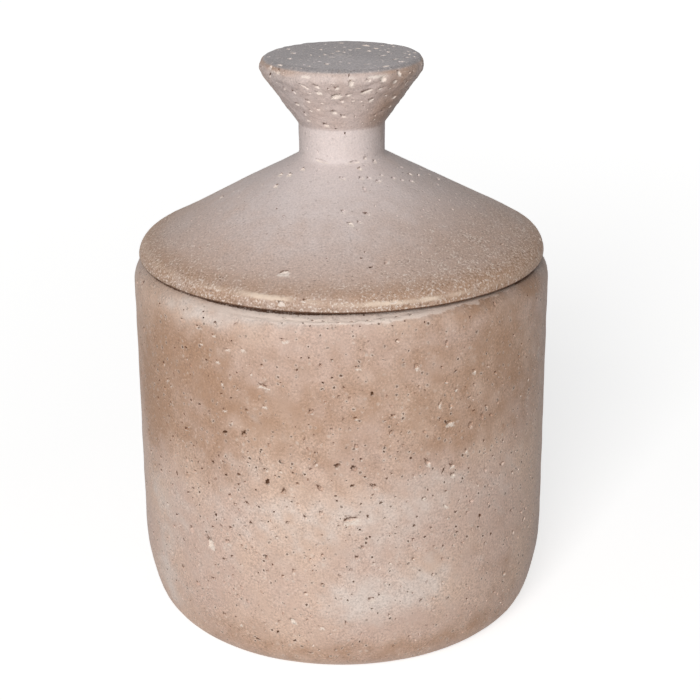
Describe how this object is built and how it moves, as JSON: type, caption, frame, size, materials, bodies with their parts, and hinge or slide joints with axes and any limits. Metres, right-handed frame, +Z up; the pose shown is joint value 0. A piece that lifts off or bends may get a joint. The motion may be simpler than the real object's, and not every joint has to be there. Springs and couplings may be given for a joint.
{
  "type": "storage jar",
  "caption": "Round thick-walled storage jar with a soft-shouldered rim and a heel tucked in to the foot, closed by a lift-off conical lid with a flared knob.",
  "frame": {"origin": "centre of the foot, on the surface that the jar stands on", "axes": "+Z up along the jar's axis of revolution; +X and +Y are any two directions square to it"},
  "size_m": [0.16, 0.16, 0.221],
  "materials": {
    "washed_stone": "matt, unglazed and pitted, with a brown wash",
    "bleached_stone": "matt, unglazed and pitted, with a pale bloom"
  },
  "bodies": {
    "jar": {"jar_body": "washed_stone"},
    "lid": {"lid": "bleached_stone"}
  },
  "joints": [
    {"name": "lid_lift", "type": "slide", "parent": "jar", "child": "lid", "axis": [0, 0, 1], "range_m": [0, 0.15]}
  ]
}
